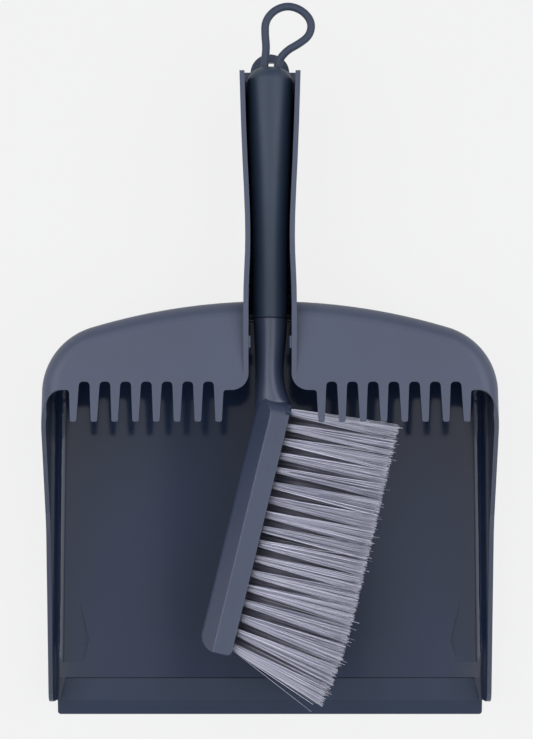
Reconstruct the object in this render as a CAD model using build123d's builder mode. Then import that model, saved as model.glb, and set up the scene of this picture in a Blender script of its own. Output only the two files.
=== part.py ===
"""Dust pan and brush set: a hooded pan with a comb and a soft lip, and a hand brush stowed in its handle.

Millimetres, +Z up. X runs across the pan and Y from the lip to the handle. The pan lies on its base at z = 0.
"""
import math
import os

from build123d import *

# Driving dimensions of the pan
pan_length = 336.5  # lip edge to the end of the hanging tab
pan_width = 225.0  # across the hood at its top
tray_depth = 206.5  # lip edge to the back of the hood, on the centre line
hood_reach = 45.6  # back of the hood to its front edge
hood_height = 57.0  # top of the hood at its front edge
hood_fall = 5.0  # degrees, the hood's top falls towards the back
wall = 2.2
draft_angle = 1.8  # degrees, the walls lean out
back_radius = 300.0  # the back wall's curve, seen from above
corner_radius = 34.0  # back corners, seen from above
shoulder_radius = 9.0  # between the walls and the hood's top
floor_height = 4.2  # top of the flat floor
floor_thickness = 2.2
floor_fillet = 4.0
base_edge_radius = 1.5
foot_width = 6.0  # ring that the pan stands on
rim_knee = 66.0  # hood's edge to where the walls' rims turn flatter
rim_knee_height = 30.0
rim_knee_radius = 60.0
rim_front_height = 15.0
rim_end_radius = 5.0
rim_width = 3.1  # flat strip left along each side under the hood's shoulder

# Front lip and the ramp behind it
lip_depth = 18.7
lip_overhang = 7.2  # lip edge to the front of the moulding
lip_end_inset = 4.5  # side of the hood to the end of the lip
lip_seat_gap = 1.7  # walls to the lip's seat, at the front of the moulding
lip_back_gap = 4.5  # walls to the lip's back corners
lip_thickness = 1.4
lip_edge_thickness = 0.8
lip_seat = 1.2  # moulding left under the lip
lip_groove = 0.4  # gap behind the lip
lip_corner_radius = 1.5
ramp_length = 19.3  # lip to the crest of the ridge
ridge_length = 19.7  # crest to the flat floor
ridge_rise = 2.4  # crest over the flat floor
ridge_crest_inset = 15.5  # walls to the ends of the crest
ridge_back_inset = 10.8  # walls to the ends of the ridge's back edge
ridge_front_inset = 11.2  # and to its ends next to the lip
ridge_draft = 15.0  # degrees, the ends lean in

# Comb on the hood's front edge
tooth_pitch = 10.1
tooth_length = 19.7
tooth_root_width = 5.0
tooth_tip_width = 3.1
tooth_tip_radius = 0.9
comb_set_back = 4.1  # roots of the gaps behind the hood's edge
gap_root_radius = 2.0
comb_end_radius = 1.5  # outer teeth into the hood's edge
comb_inner_gap = 3.75  # curve of the mouth to the first tooth
comb_outer_gap = 3.0  # last tooth to the curve of the arch, at least
arch_radius = 8.0  # hood's edge into the side walls
mouth_radius = 8.2  # hood's edge into the brush slot

# Pan handle, a channel open at the top
handle_end_width = 30.5
handle_middle_width = 27.3
handle_waist_width = 24.6
handle_neck_width = 26.1
handle_waist = 23.0  # back of the hood to the narrowest place
handle_top = 60.0  # at the back of the hood
handle_end_top = 52.0
handle_height = 35.8
handle_flare = 1.6  # degrees, the sides open towards the end
channel_wall = 2.5
handle_bottom_radius = 8.0
slot_wall_height = 13.0  # the channel's sides where they hang under the hood
tab_length = 15.1
tab_shoulder = 5.5  # ends of the channel's walls to the shoulders of the tab
tab_radius = 10.0
hanging_hole_length = 9.0
hanging_hole_width = 7.0
hanging_hole_edge = 4.4  # tab end to the hole
catch_radius = 1.6
catch_length = 6.0
catch_place = 21.0  # back of the hood to the catches
catch_drop = 10.0  # top of the hood to the catches

# Brush handle
grip_clearance = 1.15  # to the channel's sides
grip_floor_clearance = 0.7
grip_wall = 2.2
grip_end_gap = 11.0  # end of the grip to the end of the tab
grip_dome = 7.5  # radius of the rounded end
neck_diameter = 17.0  # at the seam
neck_set_in = 8.8  # back of the hood to the seam of neck and grip
seam_groove = 0.4
neck_waist_width = 14.8
neck_flare_width = 14.6  # where the neck starts to widen into the head
neck_flare_length = 9.0  # from there to the heel of the head
neck_root_width = 18.4  # at the heel
neck_root_inset = 0.5  # bristle face to the neck's side
neck_height = 17.5
neck_tail_length = 28.0  # how far the neck runs on into the head
neck_tail_width = 11.0
neck_tail_height = 12.0

# Brush head
head_turn = 13.7  # degrees from the handle's axis
head_length = 127.0
head_depth = 16.7
head_thickness = 26.0
head_flat = 9.2  # flat side next to the bristles
head_back_width = 10.0
head_ridge_radius = 1.0
head_back_radius = 3.0
toe_face_radius = 2.5
toe_back_radius = 8.0
heel_round = 10.0  # radius of the heel, seen from the side
heel_offset = 11.1  # centre line to the heel's bristle face
heel_gap = 5.5  # hood's edge to the heel

# Bristles, in rows along the head
row_count = 4
row_margin = 1.0  # sides of the head to the backing
tuft_pitch = 7.33
first_tuft = 5.0  # heel to the first tuft
toe_margin = 4.5  # last tuft to the toe, at least
strands_per_tuft = 6
strand_width = 0.8
bristle_length = 54.1
toe_tuft_length = 47.2  # the last tuft's
tuft_base_radius = 1.5
tuft_tip_radius = 2.6
heel_lean = -3.0  # degrees, towards the handle
toe_lean = 22.0  # degrees, the last tuft's, towards the toe
fanned_tufts = 5
backing_depth = 2.0
backing_margin = 2.4  # first and last tuft to the ends of the backing
staple_width = 3.0
staple_depth = 4.0
staple_thickness = 0.5

# Hanging loop
loop_diameter = 4.0
loop_route = (  # across, out from the end of the grip, and up from its axis
    (-2.9, -4.0, 0.0),
    (-2.8, 2.8, 0.5),
    (-1.8, 9.9, 2.8),
    (-2.5, 16.5, 4.6),
    (-2.4, 23.1, 5.6),
    (2.1, 28.8, 6.0),
    (9.3, 31.2, 6.0),
    (16.6, 28.5, 6.0),
    (21.2, 22.6, 5.8),
    (20.1, 15.8, 5.4),
    (14.4, 11.5, 4.8),
    (8.3, 8.5, 3.6),
    (3.6, 3.1, 0.6),
    (3.3, -3.6, 0.0),
)

# Places along Y and heights that follow from the dimensions
front_y = -pan_length / 2
end_y = pan_length / 2
tray_front_y = front_y + lip_overhang
lip_back_y = front_y + lip_depth
crest_y = lip_back_y + ramp_length
ridge_back_y = crest_y + ridge_length
hood_back_y = front_y + tray_depth
hood_edge_y = hood_back_y - hood_reach
comb_root_y = hood_edge_y + comb_set_back
handle_end_y = end_y - tab_length
handle_waist_y = hood_back_y + handle_waist
handle_middle_y = (handle_waist_y + handle_end_y) / 2
handle_lean = math.tan(math.radians(handle_flare))
handle_bottom = handle_top - handle_height
channel_floor = handle_bottom + channel_wall
lip_top = lip_seat + lip_thickness
crest_z = floor_height + ridge_rise
floor_half = pan_width / 2 - wall - hood_height * math.tan(math.radians(draft_angle))
lip_half = pan_width / 2 - lip_end_inset
slot_half = handle_neck_width / 2 - channel_wall
past = 30.0  # how far cutters run past what they cut
touch = 0.01  # corners this near to a line lie on it
arc_share = 0.45  # of the shorter run, taken by each end of an arc

seam_y = hood_back_y - neck_set_in
grip_end_y = end_y - grip_end_gap
dome_y = grip_end_y - grip_dome
grip_inset = channel_wall + grip_clearance
grip_waist_radius = handle_waist_width / 2 - grip_inset
grip_middle_radius = handle_middle_width / 2 - grip_inset
grip_end_radius = handle_end_width / 2 - grip_inset - (handle_end_y - dome_y) * handle_lean
grip_z = channel_floor + grip_floor_clearance + grip_end_radius

opening_half = pan_width / 2 - rim_width
first_tooth = slot_half + mouth_radius + comb_inner_gap + tooth_root_width / 2
last_tooth_limit = opening_half - arch_radius - comb_outer_gap - tooth_root_width / 2
teeth_per_side = 1 + int((last_tooth_limit - first_tooth) / tooth_pitch)
comb_end = first_tooth + (teeth_per_side - 1) * tooth_pitch

row_pitch = (head_thickness - 2 * row_margin) / row_count
tufts_per_row = 1 + int((head_length - first_tuft - toe_margin) / tuft_pitch)

heel_y = hood_edge_y - heel_gap
head_axis = Vector(0, -1, 0).rotate(Axis.Z, -head_turn)
bristle_axis = Vector(1, 0, 0).rotate(Axis.Z, -head_turn)
heel = Vector(heel_offset, heel_y, grip_z)
# Across the head: x out to the bristles, y up, z along the head to the toe
head_section = Plane(origin=heel, x_dir=bristle_axis, z_dir=head_axis)
# The head from above: x out to the bristles, y back from the toe to the heel
head_plan = Plane(origin=heel, x_dir=bristle_axis, z_dir=(0, 0, 1))
# The head from its bristle face: x along the head to the toe, y up
head_side = Plane(origin=heel, x_dir=head_axis, z_dir=-bristle_axis)

hood_plane = Plane(
    origin=(0, hood_edge_y, hood_height),
    x_dir=(1, 0, 0),
    z_dir=(0, math.sin(math.radians(hood_fall)), math.cos(math.radians(hood_fall))),
)


def tray_outline(inset, front, height):
    """Face of the tray's outline at a height, drawn in by inset and closed at front."""
    half = pan_width / 2 - inset
    back = hood_back_y - inset
    radius = back_radius - inset
    side_end = back - radius + math.sqrt(radius**2 - half**2)
    with BuildSketch(Plane.XY.offset(height)) as outline:
        with BuildLine():
            Line((-half, front), (-half, side_end))
            ThreePointArc((-half, side_end), (0, back), (half, side_end))
            Polyline((half, side_end), (half, front), (-half, front))
        make_face()
        fillet(outline.vertices().group_by(Axis.Y)[-1], corner_radius - inset)
    return outline.sketch


def tray_form(inset, bottom, bottom_radius):
    """Block inside the tray's outline with leaning walls, topped by the hood's slope and open in front."""
    lean = math.tan(math.radians(draft_angle))
    outline = tray_outline(inset + (hood_height - bottom) * lean, front_y - past, bottom)
    with BuildPart() as form:
        extrude(outline, amount=hood_height + past - bottom, taper=-draft_angle)
        split(bisect_by=hood_plane.offset(-inset), keep=Keep.BOTTOM)
        top = form.faces().sort_by(Axis.Z)[-1]
        fillet(top.edges().sort_by(Axis.Y)[1:], shoulder_radius - inset)
        base = form.faces().sort_by(Axis.Z)[0]
        fillet(base.edges().sort_by(Axis.Y)[1:], bottom_radius)
    return form.part


def handle_edge(inset):
    """Curve of the handle's right side, seen from above, drawn in by inset."""
    return Spline(
        (handle_neck_width / 2 - inset, hood_back_y),
        (handle_waist_width / 2 - inset, handle_waist_y),
        (handle_middle_width / 2 - inset, handle_middle_y),
        (handle_end_width / 2 - inset, handle_end_y),
        tangents=((0, 1), (handle_lean, 1)),
    )


def handle_form(inset, bottom, bottom_radius, start, stop, top):
    """Long block with the handle's outline, drawn in by inset, and rounded bottom edges."""
    with BuildPart() as form:
        with BuildSketch(Plane.XY.offset(bottom)):
            with BuildLine():
                edge = handle_edge(inset)
                Polyline((0, start), ((edge @ 0).X, start), edge @ 0)
                Polyline(edge @ 1, ((edge @ 1).X, stop), (0, stop))
                mirror(about=Plane.YZ)
            make_face()
        extrude(amount=top - bottom)
        base = form.faces().sort_by(Axis.Z)[0]
        fillet(base.edges().filter_by(lambda line: abs(line.center().X) > 1), bottom_radius)
    return form.part


# Opening in the hood's front: the comb, the arches beside it and the slot for the brush
cut_z = hood_height - shoulder_radius - wall
with BuildSketch(Plane.XY.offset(cut_z)) as opening:
    with Locations((0, front_y)):
        Rectangle(2 * opening_half, hood_edge_y - front_y, align=(Align.CENTER, Align.MIN))
        Rectangle(2 * slot_half, hood_back_y - front_y, align=(Align.CENTER, Align.MIN))
    back_corners = opening.vertices().filter_by(lambda corner: abs(corner.Y - hood_edge_y) < touch)
    fillet(back_corners.filter_by(lambda corner: abs(corner.X) < first_tooth), mouth_radius)
    back_corners = opening.vertices().filter_by(lambda corner: abs(corner.Y - hood_edge_y) < touch)
    fillet(back_corners.filter_by(lambda corner: abs(corner.X) > comb_end), arch_radius)
    for side in (-1, 1):
        with Locations((side * (first_tooth + comb_end) / 2, hood_edge_y)):
            Rectangle(comb_end - first_tooth, comb_set_back, align=(Align.CENTER, Align.MIN))
        for tooth in range(teeth_per_side):
            with Locations((side * (first_tooth + tooth * tooth_pitch), comb_root_y)):
                Polygon(
                    (-tooth_root_width / 2, 0),
                    (tooth_root_width / 2, 0),
                    (tooth_tip_width / 2, -tooth_length),
                    (-tooth_tip_width / 2, -tooth_length),
                    align=None,
                    mode=Mode.SUBTRACT,
                )
    comb_ends = opening.vertices().filter_by(lambda corner: abs(corner.Y - hood_edge_y) < touch)
    tooth_reach = tooth_root_width / 2 + touch
    comb_ends = comb_ends.filter_by(
        lambda corner: first_tooth - tooth_reach < abs(corner.X) < comb_end + tooth_reach
    )
    fillet(comb_ends, comb_end_radius)
    gap_roots = opening.vertices().filter_by(lambda corner: abs(corner.Y - comb_root_y) < touch)
    fillet(gap_roots.filter_by(lambda corner: abs(corner.X) > slot_half + touch), gap_root_radius)
    tip_y = comb_root_y - tooth_length
    fillet(opening.vertices().filter_by(lambda corner: abs(corner.Y - tip_y) < touch), tooth_tip_radius)

# Side strips that bring the walls' rims down towards the front
with BuildSketch(Plane.YZ) as rim_profile:
    with BuildLine():
        rim = FilletPolyline(
            (hood_edge_y, hood_height),
            (hood_edge_y - rim_knee, rim_knee_height),
            (tray_front_y, rim_front_height),
            (tray_front_y, floor_height),
            radius=(rim_knee_radius, rim_end_radius),
        )
        Polyline(
            rim @ 1,
            (tray_front_y - past, floor_height),
            (tray_front_y - past, hood_height + past),
            (hood_edge_y, hood_height + past),
            rim @ 0,
        )
    make_face()

# Side view of the channel's walls where they run on through the hood beside the slot
slot_wall_end_y = hood_edge_y + mouth_radius
slot_wall_end_z = hood_height - mouth_radius * math.tan(math.radians(hood_fall))
with BuildSketch(Plane.YZ) as slot_wall:
    with BuildLine():
        Polyline(
            (hood_back_y, hood_height - slot_wall_height),
            (hood_back_y, handle_top),
            (seam_y, handle_top),
            (slot_wall_end_y, slot_wall_end_z),
            (slot_wall_end_y, hood_height - slot_wall_height),
            close=True,
        )
    make_face()

# Side view of what is cut off the top of the channel's walls, which fall towards their ends
with BuildSketch(Plane.YZ) as handle_trim:
    with BuildLine():
        Polyline(
            (hood_back_y, handle_top),
            (handle_end_y, handle_end_top),
            (end_y, handle_end_top),
            (end_y, handle_top + past),
            (hood_back_y, handle_top + past),
            close=True,
        )
    make_face()

# Tab beyond the channel's walls, seen from above, as what is cut off around it
with BuildSketch(Plane.XY) as tab_trim:
    with Locations((0, handle_end_y + tab_shoulder)):
        Rectangle(2 * handle_end_width, 2 * past, align=(Align.CENTER, Align.MIN))
    with Locations((0, handle_end_y)):
        tab_straight = tab_length - tab_radius
        Rectangle(2 * tab_radius, tab_straight, align=(Align.CENTER, Align.MIN), mode=Mode.SUBTRACT)
    with Locations((0, end_y - tab_radius)):
        Circle(tab_radius, mode=Mode.SUBTRACT)

# Low ridge across the floor behind the lip, with its ends drawn in at the crest: its outline, which runs on
# past the ridge in front and behind, and its side view
with BuildSketch(Plane.XY.offset(lip_top)) as ridge_plan:
    with BuildLine():
        Polyline(
            (0, lip_back_y - ridge_rise),
            (floor_half - ridge_front_inset, lip_back_y - ridge_rise),
            (floor_half - ridge_front_inset, lip_back_y),
            (floor_half - ridge_crest_inset, crest_y),
            (floor_half - ridge_back_inset, ridge_back_y),
            (floor_half - ridge_back_inset, ridge_back_y + ridge_rise),
            (0, ridge_back_y + ridge_rise),
        )
        mirror(about=Plane.YZ)
    make_face()

with BuildSketch(Plane.YZ) as ridge_profile:
    with BuildLine():
        Polyline(
            (ridge_back_y, lip_top),
            (ridge_back_y, floor_height),
            (crest_y, crest_z),
            (lip_back_y, lip_top),
            close=True,
        )
    make_face()

with BuildPart() as ridge:
    extrude(ridge_plan.sketch, amount=crest_z - lip_top, taper=ridge_draft)
    extrude(ridge_profile.sketch, amount=floor_half, both=True, mode=Mode.INTERSECT)

# Side view of what is cut off the floor to make the ramp down to the lip
with BuildSketch(Plane.YZ) as ramp_cut:
    with BuildLine():
        Polyline(
            (crest_y, crest_z),
            (lip_back_y, lip_top),
            (front_y, lip_top),
            (front_y, crest_z),
            close=True,
        )
    make_face()


def lip_plan(corner):
    """Lip from above, with its front corners rounded."""
    with BuildSketch() as plan:
        with BuildLine():
            Polyline(
                (0, lip_back_y),
                (floor_half - lip_back_gap, lip_back_y),
                (floor_half - lip_seat_gap, tray_front_y),
                (lip_half, tray_front_y),
                (lip_half, front_y),
                (0, front_y),
            )
            mirror(about=Plane.YZ)
        make_face()
        fillet(plan.vertices().group_by(Axis.Y)[0], corner)
    return plan.sketch


# Pan: one moulding of tray, hood with comb, and channel handle with hanging tab
tray_outside = tray_form(0, 0, base_edge_radius)
tray_inside = tray_form(wall, floor_height, floor_fillet)
channel_start_y = hood_back_y - wall - channel_wall
handle_outside = handle_form(
    0, handle_bottom, handle_bottom_radius, channel_start_y, end_y + past, handle_top
)
handle_inside = handle_form(
    channel_wall,
    channel_floor,
    handle_bottom_radius - channel_wall,
    slot_wall_end_y - past,
    end_y + 2 * past,
    handle_top + past,
)
recess = tray_outline(foot_width + hood_height * math.tan(math.radians(draft_angle)), crest_y, 0)

with BuildPart() as pan_body:
    add(tray_outside)
    add(tray_inside, mode=Mode.SUBTRACT)
    split(bisect_by=Plane(origin=(0, tray_front_y, 0), z_dir=(0, 1, 0)), keep=Keep.TOP)
    add(handle_outside)
    for side in (-1, 1):
        wall_middle = side * (slot_half + channel_wall / 2)
        extrude(slot_wall.sketch.moved(Location((wall_middle, 0, 0))), amount=channel_wall / 2, both=True)
    extrude(opening.sketch, amount=past, mode=Mode.SUBTRACT)
    add(handle_inside, mode=Mode.SUBTRACT)
    extrude(handle_trim.sketch, amount=handle_end_width, both=True, mode=Mode.SUBTRACT)
    extrude(tab_trim.sketch, amount=hood_height + past, mode=Mode.SUBTRACT)
    with Locations((0, handle_end_y, channel_floor)):
        Box(
            2 * handle_end_width,
            2 * past,
            handle_height,
            align=(Align.CENTER, Align.MIN, Align.MIN),
            mode=Mode.SUBTRACT,
        )
    for side in (-1, 1):
        strip = rim_profile.sketch.moved(Location((side * (opening_half - arch_radius), 0, 0)))
        extrude(strip, amount=side * pan_width, mode=Mode.SUBTRACT)
    extrude(recess, amount=floor_height - floor_thickness, mode=Mode.SUBTRACT)
    add(ridge.part)
    extrude(ramp_cut.sketch, amount=floor_half, both=True, mode=Mode.SUBTRACT)
    extrude(lip_plan(lip_corner_radius).moved(Location((0, 0, lip_seat))), amount=past, mode=Mode.SUBTRACT)
    hole_y = end_y - hanging_hole_edge - hanging_hole_width / 2
    with BuildSketch(Plane.XY.offset(handle_bottom)):
        with Locations((0, hole_y)):
            SlotOverall(hanging_hole_length, hanging_hole_width)
    extrude(amount=handle_height, mode=Mode.SUBTRACT)
    catch_y = hood_back_y - catch_place
    catch_z = hood_height - catch_drop
    with Locations((-slot_half, catch_y, catch_z), (slot_half, catch_y, catch_z)):
        Cylinder(catch_radius, catch_length, rotation=(90, 0, 0))
pan_body.part.label = "pan_body"

# Soft lip, overmoulded on the front edge
with BuildPart() as front_lip:
    with BuildSketch(Plane.YZ):
        with BuildLine():
            Polyline(
                (lip_back_y - lip_groove, lip_seat),
                (lip_back_y - lip_groove, lip_top),
                (tray_front_y, lip_top),
                (front_y, lip_edge_thickness),
                (front_y, 0),
                (tray_front_y, 0),
                (tray_front_y, lip_seat),
                close=True,
            )
        make_face()
    extrude(amount=lip_half, both=True)
    extrude(lip_plan(lip_corner_radius), amount=hood_height, both=True, mode=Mode.INTERSECT)
front_lip.part.label = "front_lip"

# Hanging loop: a cord whose two ends sit in the end of the grip
loop_points = [Vector(0, grip_end_y, grip_z) + Vector(*point) for point in loop_route]
loop_radii = []
for before, corner, after in zip(loop_points, loop_points[1:], loop_points[2:]):
    turn = (corner - before).get_angle(after - corner)
    run = min((corner - before).length, (after - corner).length)
    loop_radii.append(arc_share * run / math.tan(math.radians(turn / 2)))
print("loop radii", [round(radius, 1) for radius in loop_radii])

with BuildPart() as hanging_loop:
    with BuildLine() as loop_path:
        FilletPolyline(*loop_points, radius=loop_radii)
    with BuildSketch(Plane(origin=loop_path.line @ 0, z_dir=loop_path.line % 0)):
        Circle(loop_diameter / 2)
    sweep()
hanging_loop.part.label = "hanging_loop"
loop_length = sum(edge.length for edge in loop_path.edges())
loop_section = math.pi * loop_diameter**2 / 4
print("loop length", round(loop_length, 1))
print("loop volume", round(hanging_loop.part.volume, 1), "of", round(loop_section * loop_length, 1))


def grip_face(inset):
    """Half section of the brush handle beside its axis, drawn in by inset."""
    with BuildSketch(Plane.XY.offset(grip_z)) as face:
        with BuildLine():
            side = Spline(
                (neck_diameter / 2 - inset, seam_y),
                (grip_waist_radius - inset, handle_waist_y),
                (grip_middle_radius - inset, handle_middle_y),
                (grip_end_radius - inset, dome_y),
                tangents=((0, 1), (handle_lean, 1)),
            )
            dome = CenterArc((grip_end_radius - grip_dome, dome_y), grip_dome - inset, 0, arc_size=90)
            Polyline(dome @ 1, (0, grip_end_y - inset), (0, seam_y), side @ 0)
        make_face()
    return face.sketch


def row_places(row):
    """Tufts of a row, counted in steps from the heel; every other row from the top stands half a step on."""
    shifted = (row_count - 1 - row) % 2
    return [tuft + shifted / 2 for tuft in range(tufts_per_row - shifted)]


def row_height(row):
    """Height of a row over the middle of the head."""
    return (row - (row_count - 1) / 2) * row_pitch


def tuft_reach(place):
    """Way from the root of a tuft to its tip; the tufts next to the toe fan out and the last is shorter."""
    fan_start = tufts_per_row - 1 - fanned_tufts
    fan = max(0, place - fan_start) / fanned_tufts
    lean = heel_lean * max(0, 1 - place / fan_start) + toe_lean * fan**1.6
    length = bristle_length + (toe_tuft_length - bristle_length) * fan**4
    return Vector(length, 0, 0).rotate(Axis.Y, -lean)


def make_strand(row, place, around):
    """One strand of a tuft, from the middle of the backing to its tip."""
    aside = Vector(0, math.cos(around), math.sin(around))
    middle = Vector(0, row_height(row), first_tuft + place * tuft_pitch)
    root = head_section.from_local_coords(middle + aside * tuft_base_radius - Vector(backing_depth / 2, 0, 0))
    tip = head_section.from_local_coords(middle + aside * tuft_tip_radius + tuft_reach(place))
    with BuildPart() as strand:
        with BuildSketch(Plane(origin=root, z_dir=tip - root)):
            Rectangle(strand_width, strand_width)
        extrude(amount=(tip - root).length)
    return strand.part


def staple_spots(row):
    """Places of a row's staples, behind the backing."""
    depth = backing_depth + staple_depth / 2
    spots = []
    for place in row_places(row):
        spots.append(head_section.location * Location((-depth, row_height(row), first_tuft + place * tuft_pitch)))
    return spots


def neck_section(middle, turn, width, height):
    """Upright oval section across the neck, turned with the head by an angle."""
    across = Vector(1, 0, 0).rotate(Axis.Z, -turn)
    with BuildSketch(Plane(origin=middle, x_dir=across, z_dir=across.cross(Vector(0, 0, 1)))) as section:
        Ellipse(width / 2, height / 2)
    return section.sketch


# Side view of the head, with its heel rounded
with BuildSketch(head_side) as side_view:
    Rectangle(head_length, head_thickness, align=(Align.MIN, Align.CENTER))
    fillet(side_view.vertices().group_by(Axis.X)[0], heel_round)

# Brush body: core of the grip, neck and head in one moulding
grip_axis = Axis((0, 0, grip_z), (0, 1, 0))
row_length = (tufts_per_row - 1) * tuft_pitch
backing_length = row_length + 2 * backing_margin
backing_start = first_tuft - backing_margin
neck_seam = Vector(0, seam_y, grip_z)
neck_root = head_section.from_local_coords(Vector(-neck_root_inset - neck_root_width / 2, 0, 0))
neck_flare = Vector(0, neck_root.Y + neck_flare_length, grip_z)
neck_tail = head_section.from_local_coords(Vector(-head_depth / 2, 0, neck_tail_length))
seam_section = neck_section(neck_seam, 0, neck_diameter, neck_diameter)
waist_section = neck_section((neck_seam + neck_flare) / 2, 0, neck_waist_width, neck_diameter)
flare_section = neck_section(neck_flare, head_turn / 2, neck_flare_width, neck_height)
root_section = neck_section(neck_root, head_turn, neck_root_width, neck_height)
tail_section = neck_section(neck_tail, head_turn, neck_tail_width, neck_tail_height)
with BuildPart() as brush_body:
    with BuildSketch(head_section) as section:
        with BuildLine():
            Polyline(
                (0, -head_thickness / 2),
                (0, head_thickness / 2),
                (-head_flat, head_thickness / 2),
                (-head_depth, head_back_width / 2),
                (-head_depth, -head_back_width / 2),
                (-head_flat, -head_thickness / 2),
                close=True,
            )
        make_face()
        fillet(section.vertices().group_by(Axis.X)[0], head_back_radius)
        ridges = section.vertices().filter_by(lambda corner: abs(corner.X + head_flat) < touch)
        fillet(ridges, head_ridge_radius)
    extrude(amount=head_length)
    with BuildSketch(head_plan) as plan:
        Rectangle(head_depth, head_length, align=(Align.MAX, Align.MAX))
        fillet(plan.vertices().group_by(Axis.X)[0], toe_back_radius)
        fillet(plan.vertices().sort_by(Axis.X)[-2:].sort_by(Axis.Y)[0], toe_face_radius)
    extrude(amount=head_thickness, both=True, mode=Mode.INTERSECT)
    extrude(side_view.sketch, amount=head_depth, mode=Mode.INTERSECT)

    loft([seam_section, waist_section, flare_section, root_section])
    loft([root_section, tail_section], ruled=True)
    with BuildSketch(head_section):
        Rectangle(past, head_thickness, align=(Align.MIN, Align.CENTER))
    extrude(amount=neck_tail_length, mode=Mode.SUBTRACT)
    revolve(grip_face(grip_wall), axis=grip_axis)
    add(hanging_loop.part, mode=Mode.SUBTRACT)

    with BuildSketch(head_section.offset(backing_start)):
        Rectangle(backing_depth, row_count * row_pitch, align=(Align.MAX, Align.CENTER))
    extrude(amount=backing_length, mode=Mode.SUBTRACT)
    for row in range(row_count):
        with Locations(*staple_spots(row)):
            Box(staple_depth, staple_width, staple_thickness, mode=Mode.SUBTRACT)
brush_body.part.label = "brush_body"

# Soft sleeve moulded over the core
with BuildPart() as grip_sleeve:
    revolve(grip_face(0), axis=grip_axis)
    revolve(grip_face(grip_wall), axis=grip_axis, mode=Mode.SUBTRACT)
    split(bisect_by=Plane(origin=(0, seam_y + seam_groove, 0), z_dir=(0, 1, 0)), keep=Keep.TOP)
    add(hanging_loop.part, mode=Mode.SUBTRACT)
grip_sleeve.part.label = "grip_sleeve"

# Bristles: a row of tufts on its own strip of backing, and the staples that anchor the row
pieces = [pan_body, front_lip, brush_body, grip_sleeve, hanging_loop]
for row in range(row_count):
    strands = []
    for place in row_places(row):
        for strand in range(strands_per_tuft):
            strands.append(make_strand(row, place, 2 * math.pi * strand / strands_per_tuft))
    with BuildPart() as bristle_row:
        with BuildSketch(head_section.offset(backing_start)):
            with Locations((0, row_height(row))):
                Rectangle(backing_depth, row_pitch, align=(Align.MAX, Align.CENTER))
        extrude(amount=backing_length)
        extrude(side_view.sketch, amount=backing_depth, mode=Mode.INTERSECT)
        add(strands)
    bristle_row.part.label = f"bristle_row_{row + 1}"

    with BuildPart() as staple_row:
        with Locations(*staple_spots(row)):
            Box(staple_depth, staple_width, staple_thickness)
    staple_row.part.label = f"staple_row_{row + 1}"
    pieces += [bristle_row, staple_row]

os.makedirs("parts", exist_ok=True)
for piece in pieces:
    export_step(piece.part, f"parts/{piece.part.label}.step")
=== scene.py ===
"""Looks of the dust pan and brush set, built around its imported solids.

Metres, in the part's own frame: X across the pan, Y from the lip to the handle, Z up.
"""
import math
import random

import bpy
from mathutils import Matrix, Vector


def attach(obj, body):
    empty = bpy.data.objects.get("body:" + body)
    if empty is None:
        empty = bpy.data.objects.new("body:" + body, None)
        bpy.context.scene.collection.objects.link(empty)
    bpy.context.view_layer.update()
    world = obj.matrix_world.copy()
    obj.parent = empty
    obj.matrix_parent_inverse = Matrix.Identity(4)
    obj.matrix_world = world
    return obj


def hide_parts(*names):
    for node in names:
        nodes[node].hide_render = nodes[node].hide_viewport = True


MM = 0.001
random_seed = 11

# Camera, above the tray and tilted a little towards the handle
camera_place = Vector((-1.75, -82.95, 930.0)) * MM
camera_tilt = 5.6  # degrees
camera_lens = 87.6
camera_sensor = 36.0
camera_near = 10.0 * MM

# Sizes that the dressed pieces share with the solids
grip_end = Vector((0, 157.25, 38.905)) * MM
heel = Vector((11.1, -12.85, 38.905)) * MM
heel_round = 10.0 * MM
head_half = 13.0 * MM
head_turn = math.radians(13.7)
along_head = Vector((-math.sin(head_turn), -math.cos(head_turn), 0))
out_of_head = Vector((math.cos(head_turn), -math.sin(head_turn), 0))
up = Vector((0, 0, 1))
row_count = 4
row_pitch = 6.0 * MM
tufts_per_row = 17
tuft_pitch = 7.33 * MM
first_tuft = 5.0 * MM
bristle_length = 54.1 * MM
heel_lean = math.radians(-3.0)
backing_depth = 2.0 * MM
backing_margin = 2.4 * MM
backing_steps = 8  # of the outline round the heel

# Fan of tufts at the toe, where they lean less than the solids and are a little longer
fanned_tufts = 5
fan_start = tufts_per_row - 1 - fanned_tufts
toe_tuft_length = 51.0 * MM
toe_lean = math.radians(15.0)
toe_spread = 0.35  # share by which the last tuft spreads more
lean_power = 1.6
length_power = 4
toe_strays = ((24.0, 48.3), (20.0, 47.0))  # single strands: lean in degrees, length in mm

# Strands
strands_per_tuft = 72
strand_radius = 0.19 * MM
strand_taper = 0.35
strand_sides = 3
strand_rings = 4
tuft_base = 1.7 * MM
tuft_spread = 2.3  # tips stand this many times as far from the tuft's middle as the roots
strand_jitter = 0.5 * MM
strand_bend = 0.25 * MM
tip_scatter = 1.6 * MM
stray_share = 0.015
stray_reach = 3.0 * MM

# Hanging loop: its route across, out from the end of the grip, and up from the grip's axis
loop_diameter = 4.0 * MM
loop_route = (
    (-2.9, -4.0, 0.0),
    (-2.8, 2.8, 0.5),
    (-1.8, 9.9, 2.8),
    (-2.5, 16.5, 4.6),
    (-2.4, 23.1, 5.6),
    (2.1, 28.8, 6.0),
    (9.3, 31.2, 6.0),
    (16.6, 28.5, 6.0),
    (21.2, 22.6, 5.8),
    (20.1, 15.8, 5.4),
    (14.4, 11.5, 4.8),
    (8.3, 8.5, 3.6),
    (3.6, 3.1, 0.6),
    (3.3, -3.6, 0.0),
)
loop_steps = 10  # between two points of the route
loop_sides = 6

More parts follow.
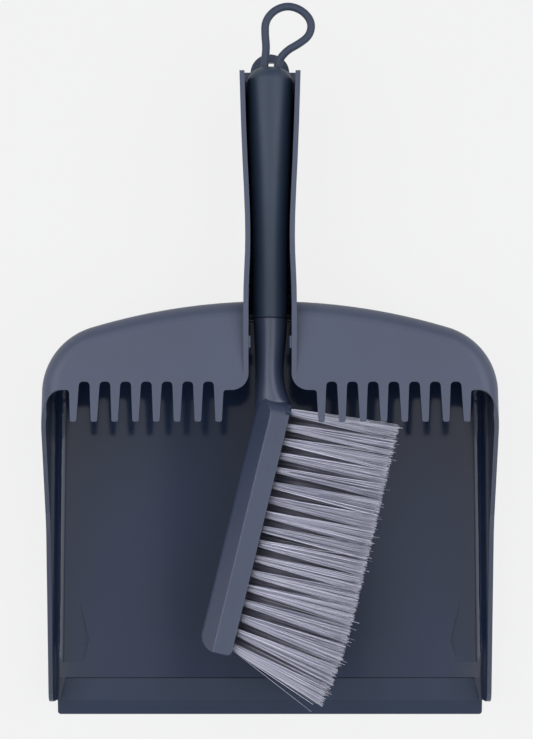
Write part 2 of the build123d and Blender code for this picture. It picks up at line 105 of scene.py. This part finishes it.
# Where the pan's plastic is glossy and its colour darkened as painted shade: on faces turned to the middle
# of the tray, and less so in the slot beside the neck and on the floor of the handle's channel
tray_middle = Vector((0, -60, 42)) * MM
hood_back = 38.25 * MM
channel_top = 30.0 * MM
floor_rise = 0.3  # a face whose normal rises more than this counts as floor
slot_half = 10.5 * MM
catch_top = 49.0 * MM
slot_gloss_and_shade = 0.5

# Surfaces: soft edges, and noises that make colour and gloss a little uneven
edge_round = 0.5 * MM
head_edge_round = 1.0 * MM
edge_samples = 6
noise_low = 0.3  # most values of a noise lie between these two
noise_high = 0.7
broad_scale = 18.0
fine_scale = 900.0
speck_scale = 3200.0
speck_detail = 2.0
colour_spread = 0.06
roughness_spread = 0.04

# Pan's plastic, its colours in screen values and each range from low to high; the glossy colours are
# darker as painted shade
pan_broad_scale = 16.0
pan_fine_scale = 700.0
pan_grain = 0.02 * MM
satin_colours = ((64, 71, 89), (68, 75, 94))
satin_roughness = (0.40, 0.48)
shaded_gloss_colours = ((28, 39, 60), (30, 41, 64))
gloss_roughness = (0.07, 0.12)

# Nylon of the bristles, and painted shade that darkens its inner rows
nylon_scale = 600.0
nylon_colours = ((131, 132, 152), (234, 235, 248))
nylon_roughness = (0.26, 0.38)
nylon_specular = 1.0
painted_shade_colour = (40, 42, 66)
painted_shade_share = 0.68
full_shade_height = 5.0 * MM  # height from the middle of the head, up to which strands are darkest
shade_free_height = 7.2 * MM  # and from which they have their full colour

# Floor and light
pale_grey = 241
floor_half = 8.0
floor_drop = 0.2 * MM
floor_roughness = 0.9
floor_glow = 0.93  # share of plain pale colour in what the camera sees of the floor
room_light = 0.03
backdrop_full = 0.15  # rise of a direction, up to which the backdrop is pale
backdrop_end = 0.35
box_height = 1.2
box_length = 2.4
box_colour = (0.97, 0.985, 1.04)
box_bands = (  # inner edge, outer edge, radiance
    (0.0, 0.12, 0.45),
    (0.12, 0.26, 0.85),
    (0.26, 0.9, 2.0),
    (0.9, 2.1, 2.5),
)

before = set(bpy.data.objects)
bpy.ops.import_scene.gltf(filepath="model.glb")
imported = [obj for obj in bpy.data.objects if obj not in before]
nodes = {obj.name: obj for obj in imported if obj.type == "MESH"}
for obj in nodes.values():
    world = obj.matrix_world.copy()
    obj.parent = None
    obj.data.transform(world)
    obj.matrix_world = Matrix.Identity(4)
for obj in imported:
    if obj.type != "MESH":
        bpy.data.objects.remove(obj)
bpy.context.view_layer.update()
scene = bpy.context.scene
scene.view_settings.view_transform = "Standard"
rng = random.Random(random_seed)


def paint(red, green, blue):
    """Linear colour from 0 to 255 screen values."""
    values = []
    for value in (red, green, blue):
        share = value / 255
        values.append(share / 12.92 if share <= 0.04045 else ((share + 0.055) / 1.055) ** 2.4)
    return (*values, 1.0)


def scaled(colour, factor):
    """Colour made lighter or darker."""
    return (*(channel * factor for channel in colour[:3]), 1.0)


def add_node(tree, kind, inputs=None, **settings):
    """A node with its settings, and its inputs set to values or linked to sockets."""
    made = tree.nodes.new(kind)
    for name, value in settings.items():
        setattr(made, name, value)
    for name, value in (inputs or {}).items():
        if isinstance(value, bpy.types.NodeSocket):
            tree.links.new(value, made.inputs[name])
        else:
            made.inputs[name].default_value = value
    return made


def feed(tree, shader, name, socket):
    """Links a socket to one of a shader's inputs."""
    tree.links.new(socket, shader.inputs[name])


def calc(tree, operation, first, second=0.0):
    """Output of a math node."""
    return add_node(tree, "ShaderNodeMath", {0: first, 1: second}, operation=operation).outputs[0]


def both(tree, first, second):
    """Product of two values, or of two masks."""
    return calc(tree, "MULTIPLY", first, second)


def either(tree, first, second):
    """Larger of two values, or either of two masks."""
    return calc(tree, "MAXIMUM", first, second)


def opposite(tree, mask):
    """1 where a mask is 0, and 0 where it is 1."""
    return calc(tree, "SUBTRACT", 1.0, mask)


def parts(tree, vector):
    """X, Y and Z of a vector socket."""
    return add_node(tree, "ShaderNodeSeparateXYZ", {0: vector}).outputs


def ramp(tree, value, low, high, from_low=0.0, from_high=1.0):
    """Value mapped from one range to another, held at the ends."""
    inputs = {"Value": value, "From Min": from_low, "From Max": from_high, "To Min": low, "To Max": high}
    return add_node(tree, "ShaderNodeMapRange", inputs).outputs["Result"]


def mix_colour(tree, share, first, second):
    """Output of a colour mix."""
    inputs = {0: share, 6: first, 7: second}
    return add_node(tree, "ShaderNodeMix", inputs, data_type="RGBA").outputs[2]


def mix_paints(tree, share, colours):
    """Colour between two colours in screen values."""
    first, second = colours
    return mix_colour(tree, share, paint(*first), paint(*second))


def mix_value(tree, share, first, second):
    """Output of a mix of two numbers."""
    inputs = {0: share, 2: first, 3: second}
    return add_node(tree, "ShaderNodeMix", inputs, data_type="FLOAT").outputs[0]


def noise(tree, place, scale, detail=3.0):
    """Grey noise over a place socket."""
    inputs = {"Vector": place, "Scale": scale, "Detail": detail}
    return add_node(tree, "ShaderNodeTexNoise", inputs).outputs["Fac"]


def wander(tree, grey, low=0.0, high=1.0):
    """Noise spread out between two values."""
    return ramp(tree, grey, low, high, noise_low, noise_high)


def new_material(name):
    """Material with its node tree, its main shader and the sockets of its own coordinates."""
    made = bpy.data.materials.new(name)
    made.use_nodes = True
    tree = made.node_tree
    shader = tree.nodes["Principled BSDF"]
    coordinates = add_node(tree, "ShaderNodeTexCoord").outputs
    return made, tree, shader, coordinates


def bump(tree, height, distance, normal):
    """Normal socket that raises a height by a distance, over another normal."""
    inputs = {"Height": height, "Distance": distance, "Strength": 1.0, "Normal": normal}
    return add_node(tree, "ShaderNodeBump", inputs).outputs["Normal"]


def soft_edges(tree, radius):
    """Normal socket that rounds sharp edges over, so that they catch the light."""
    return add_node(tree, "ShaderNodeBevel", {"Radius": radius}, samples=edge_samples).outputs["Normal"]


def moulded(name, colour, roughness, grain, specular=0.5, edge=edge_round, metallic=0.0):
    """Moulded plastic, rubber or drawn wire: fine grain, a little uneven in colour and gloss."""
    made, tree, shader, coordinates = new_material(name)
    place = coordinates["Object"]
    broad = noise(tree, place, broad_scale)
    fine = noise(tree, place, fine_scale)
    speck = noise(tree, place, speck_scale, speck_detail)
    darker = scaled(colour, 1 - colour_spread)
    lighter = scaled(colour, 1 + colour_spread)
    uneven = wander(tree, fine, roughness - roughness_spread, roughness + roughness_spread)
    feed(tree, shader, "Base Color", mix_colour(tree, wander(tree, broad), darker, lighter))
    feed(tree, shader, "Roughness", uneven)
    feed(tree, shader, "Normal", bump(tree, speck, grain, soft_edges(tree, edge)))
    shader.inputs["Specular IOR Level"].default_value = specular
    shader.inputs["Metallic"].default_value = metallic
    return made


def gloss_and_shade_mask(tree, coordinates):
    """How glossy the pan's plastic is, and how far its colour is darkened as painted shade: 1 inside the
    tray, less in the slot and the channel, 0 outside.
    """
    spot = parts(tree, coordinates["Object"])
    normal = coordinates["Normal"]
    to_middle = add_node(
        tree,
        "ShaderNodeVectorMath",
        {0: tuple(tray_middle), 1: coordinates["Object"]},
        operation="SUBTRACT",
    ).outputs[0]
    facing = add_node(
        tree,
        "ShaderNodeVectorMath",
        {0: to_middle, 1: normal},
        operation="DOT_PRODUCT",
    ).outputs["Value"]
    behind = calc(tree, "GREATER_THAN", spot["Y"], hood_back)
    tray = both(tree, calc(tree, "GREATER_THAN", facing, 0.0), opposite(tree, behind))
    low = calc(tree, "LESS_THAN", spot["Z"], channel_top)
    level = calc(tree, "GREATER_THAN", parts(tree, normal)["Z"], floor_rise)
    channel = both(tree, both(tree, behind, low), level)
    beside_neck = calc(tree, "LESS_THAN", calc(tree, "ABSOLUTE", spot["X"]), slot_half)
    under_hood = calc(tree, "LESS_THAN", spot["Z"], catch_top)
    slot = both(tree, beside_neck, under_hood)
    return either(tree, tray, both(tree, either(tree, channel, slot), slot_gloss_and_shade))


def pan_plastic():
    """The pan's plastic: satin outside, glossy inside the tray, the slot and the channel, where its colour
    is darkened as painted shade.
    """
    made, tree, shader, coordinates = new_material("pan_plastic")
    place = coordinates["Object"]
    inside = gloss_and_shade_mask(tree, coordinates)
    outside = opposite(tree, inside)
    broad = wander(tree, noise(tree, place, pan_broad_scale))
    fine = noise(tree, place, pan_fine_scale)
    speck = noise(tree, place, speck_scale, speck_detail)
    satin = mix_paints(tree, broad, satin_colours)
    # painted shade: the glossy colour is darker than the satin one
    gloss = mix_paints(tree, broad, shaded_gloss_colours)
    satin_rough = wander(tree, fine, *satin_roughness)
    gloss_rough = wander(tree, fine, *gloss_roughness)
    edges = soft_edges(tree, both(tree, outside, edge_round))
    feed(tree, shader, "Base Color", mix_colour(tree, inside, satin, gloss))
    feed(tree, shader, "Roughness", mix_value(tree, inside, satin_rough, gloss_rough))
    feed(tree, shader, "Normal", bump(tree, both(tree, speck, outside), pan_grain, edges))
    return made


def bristle_material():
    """Pale nylon, each strand a little lighter or darker than the next, and darkened by painted shade deep
    in the brush.
    """
    made, tree, shader, coordinates = new_material("bristle")
    place = coordinates["Object"]
    tone = add_node(tree, "ShaderNodeNewGeometry").outputs["Random Per Island"]
    strand = mix_paints(tree, tone, nylon_colours)
    height = calc(tree, "SUBTRACT", parts(tree, place)["Z"], heel.z)
    # painted shade: strands near the middle of the head are mixed towards a dark colour
    painted_shade = ramp(tree, calc(tree, "ABSOLUTE", height), painted_shade_share, 0.0, full_shade_height, shade_free_height)
    feed(tree, shader, "Base Color", mix_colour(tree, painted_shade, strand, paint(*painted_shade_colour)))
    feed(tree, shader, "Roughness", ramp(tree, noise(tree, place, nylon_scale), *nylon_roughness))
    shader.inputs["Specular IOR Level"].default_value = nylon_specular
    return made


def seen_directly(tree):
    """1 for what the camera sees, also in a mirror or through glass, and 0 for what only lights others."""
    rays = add_node(tree, "ShaderNodeLightPath").outputs
    seen = either(tree, rays["Is Camera Ray"], rays["Is Glossy Ray"])
    return either(tree, seen, rays["Is Transmission Ray"])


def dress(node, material):
    """Gives a solid of the frame one material."""
    slots = nodes[node].material_slots
    if not slots:
        nodes[node].data.materials.append(material)
    for place in slots:
        place.material = material


def toe_share(place):
    """How far a tuft is into the fan at the toe, from 0 to 1."""
    return max(0, place - fan_start) / fanned_tufts


def leaning(lean, length):
    """Way of a length out of the head, leaning towards the toe."""
    return out_of_head * (length * math.cos(lean)) + along_head * (length * math.sin(lean))


def tuft_reach(place):
    """Way from the root of a tuft to its tip."""
    fan = toe_share(place)
    lean = heel_lean * max(0, 1 - place / fan_start) + toe_lean * fan**lean_power
    length = bristle_length + (toe_tuft_length - bristle_length) * fan**length_power
    return leaning(lean, length)


def scatter(amount):
    """Random step across a strand, along the head and up."""
    return along_head * rng.gauss(0, amount) + up * rng.gauss(0, amount)


def add_strand(verts, faces, root, middle, tip):
    """A thin tube on a curve from root to tip, drawn towards its middle point and tapered to its tip."""
    base = len(verts)
    direction = (tip - root).normalized()
    side = direction.cross(up).normalized()
    other = direction.cross(side)
    for ring in range(strand_rings):
        share = ring / (strand_rings - 1)
        centre = root * (1 - share) ** 2 + middle * (2 * share * (1 - share)) + tip * share**2
        radius = strand_radius * (1 - strand_taper * share)
        for corner in range(strand_sides):
            angle = 2 * math.pi * corner / strand_sides
            verts.append(centre + side * (radius * math.cos(angle)) + other * (radius * math.sin(angle)))
    for ring in range(strand_rings - 1):
        first = base + ring * strand_sides
        second = first + strand_sides
        for corner in range(strand_sides):
            after = (corner + 1) % strand_sides
            faces.append((first + corner, first + after, second + after, second + corner))
    last = base + (strand_rings - 1) * strand_sides
    faces.append(tuple(last + corner for corner in range(strand_sides)))
    faces.append(tuple(base + corner for corner in reversed(range(strand_sides))))


def add_backing(verts, faces, height):
    """The strip that a row stands on, its start trimmed to the rounded heel."""
    base = len(verts)
    end = first_tuft + (tufts_per_row - 1) * tuft_pitch + backing_margin
    step_height = row_pitch / backing_steps
    sides = [height - row_pitch / 2 + step * step_height for step in range(backing_steps + 1)]
    outline = [(end, sides[-1]), (end, sides[0])]
    for side in sides:
        past_round = max(0.0, abs(side) - (head_half - heel_round))
        heel_edge = heel_round - math.sqrt(heel_round**2 - past_round**2)
        outline.append((max(first_tuft - backing_margin, heel_edge), side))
    for out in (-backing_depth, 0.0):
        for reach, side in outline:
            verts.append(heel + out_of_head * out + up * side + along_head * reach)
    count = len(outline)
    faces.append(tuple(base + corner for corner in range(count)))
    faces.append(tuple(base + count + corner for corner in reversed(range(count))))
    for corner in range(count):
        after = (corner + 1) % count
        faces.append((base + after, base + corner, base + count + corner, base + count + after))


def add_tuft(verts, faces, middle, place):
    """The strands of one tuft, around the middle of its root."""
    reach = tuft_reach(place)
    spread = tuft_spread * (1 + toe_spread * toe_share(place))
    for strand in range(strands_per_tuft):
        angle = rng.uniform(0, 2 * math.pi)
        away = tuft_base * math.sqrt(rng.random())
        offset = along_head * (away * math.cos(angle)) + up * (away * math.sin(angle))
        loose = scatter(strand_jitter)
        root = middle + offset - out_of_head * (backing_depth / 2)
        if rng.random() < stray_share:
            trim = rng.uniform(-stray_reach, 0)
        else:
            trim = abs(rng.gauss(0, tip_scatter))
        tip = middle + offset * spread + loose + reach * (1 - trim / bristle_length)
        add_strand(verts, faces, root, (root + tip) / 2 + scatter(strand_bend), tip)


# Camera
camera = bpy.data.objects.new("camera", bpy.data.cameras.new("camera"))
camera.data.lens = camera_lens
camera.data.sensor_width = camera_sensor
camera.data.clip_start = camera_near
camera.location = camera_place
camera.rotation_euler = (math.radians(camera_tilt), 0, 0)
scene.collection.objects.link(camera)
scene.camera = camera

# Hanging loop, a stiff cord with both ends in the grip
curve = bpy.data.curves.new("hanging_cord", "CURVE")
curve.dimensions = "3D"
spline = curve.splines.new("NURBS")
spline.points.add(len(loop_route) - 1)
for point, place in zip(spline.points, loop_route):
    point.co = (*(grip_end + Vector(place) * MM), 1.0)
spline.order_u = 3
spline.use_endpoint_u = True
spline.resolution_u = loop_steps
curve.bevel_depth = loop_diameter / 2
curve.bevel_resolution = loop_sides
cord = bpy.data.objects.new("hanging_cord", curve)
scene.collection.objects.link(cord)
cord_material = moulded("loop_rubber", paint(46, 57, 75), roughness=0.5, grain=0.02 * MM, specular=0.4)
curve.materials.append(cord_material)
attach(cord, "brush")
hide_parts("hanging_loop")

# Materials of the solids that stay
lip_material = moulded("lip_rubber", paint(34, 46, 65), roughness=0.42, grain=0.03 * MM, specular=0.3)
brush_material = moulded(
    "brush_plastic",
    paint(52, 61, 82),
    roughness=0.38,
    grain=0.01 * MM,
    specular=0.65,
    edge=head_edge_round,
)
grip_material = moulded("grip_rubber", paint(38, 52, 70), roughness=0.5, grain=0.04 * MM)
steel = moulded("staple_steel", paint(170, 170, 172), roughness=0.3, grain=0.02 * MM, metallic=1.0)
dress("pan_body", pan_plastic())
dress("front_lip", lip_material)
dress("brush_body", brush_material)
dress("grip_sleeve", grip_material)
for row in range(row_count):
    dress(f"staple_row_{row + 1}", steel)

# Bristles: tufts of fine strands on each row's strip of backing, every other row set off by half a pitch
strand_material = bristle_material()
for row in range(row_count):
    height = (row - (row_count - 1) / 2) * row_pitch
    shifted = (row_count - 1 - row) % 2
    verts = []
    faces = []
    add_backing(verts, faces, height)
    backing_faces = len(faces)
    for tuft in range(tufts_per_row - shifted):
        place = tuft + shifted / 2
        middle = heel + up * height + along_head * (first_tuft + place * tuft_pitch)
        add_tuft(verts, faces, middle, place)
    if row == row_count - 1:
        for lean, length in toe_strays:
            root = middle + along_head * tuft_base
            tip = root + leaning(math.radians(lean), length * MM)
            add_strand(verts, faces, root, (root + tip) / 2, tip)
    mesh = bpy.data.meshes.new(f"tufts_{row + 1}")
    mesh.from_pydata(verts, [], faces)
    mesh.materials.append(strand_material)
    mesh.materials.append(brush_material)
    for face in mesh.polygons[:backing_faces]:
        face.material_index = 1
    for face in mesh.polygons[backing_faces:]:
        face.use_smooth = True
    mesh.update()
    tufts = bpy.data.objects.new(f"tufts_{row + 1}", mesh)
    scene.collection.objects.link(tufts)
    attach(tufts, "brush")
    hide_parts(f"bristle_row_{row + 1}")

# Floor, pale and large enough for every view
floor_signs = ((-1, -1), (1, -1), (1, 1), (-1, 1))
floor_corners = [(x * floor_half, y * floor_half, 0) for x, y in floor_signs]
floor_mesh = bpy.data.meshes.new("floor")
floor_mesh.from_pydata(floor_corners, [], [(0, 1, 2, 3)])
floor = bpy.data.objects.new("floor", floor_mesh)
floor.location.z = -floor_drop
scene.collection.objects.link(floor)
floor_material, tree, shader, _ = new_material("pale_floor")
pale = paint(pale_grey, pale_grey, pale_grey)
shader.inputs["Base Color"].default_value = pale
shader.inputs["Roughness"].default_value = floor_roughness
shader.inputs["Specular IOR Level"].default_value = 0.0
glow = add_node(tree, "ShaderNodeEmission", {"Color": pale, "Strength": 1.0})
glow_share = both(tree, seen_directly(tree), floor_glow)
surfaces = {0: glow_share, 1: shader.outputs[0], 2: glow.outputs[0]}
blend = add_node(tree, "ShaderNodeMixShader", surfaces)
feed(tree, tree.nodes["Material Output"], "Surface", blend.outputs[0])
floor_mesh.materials.append(floor_material)

# A dark room with a pale backdrop all round
world = bpy.data.worlds.new("studio")
world.use_nodes = True
tree = world.node_tree
direction = add_node(tree, "ShaderNodeTexCoord").outputs["Generated"]
near_floor = ramp(tree, parts(tree, direction)["Z"], 1.0, 0.0, backdrop_full, backdrop_end)
backdrop = both(tree, seen_directly(tree), near_floor)
sky = tree.nodes["Background"]
sky.inputs["Color"].default_value = pale
feed(tree, sky, "Strength", ramp(tree, backdrop, room_light, 1.0))
scene.world = world

# Large soft boxes overhead on both sides of the camera, dimmer next to it
for inner, outer, radiance in box_bands:
    for side in (-1, 1):
        data = bpy.data.lights.new("soft_box", "AREA")
        data.shape = "RECTANGLE"
        data.size = outer - inner
        data.size_y = box_length
        data.energy = radiance * math.pi * data.size * data.size_y
        data.color = box_colour
        lamp = bpy.data.objects.new("soft_box", data)
        lamp.location = (side * (inner + outer) / 2, 0.0, box_height)
        scene.collection.objects.link(lamp)
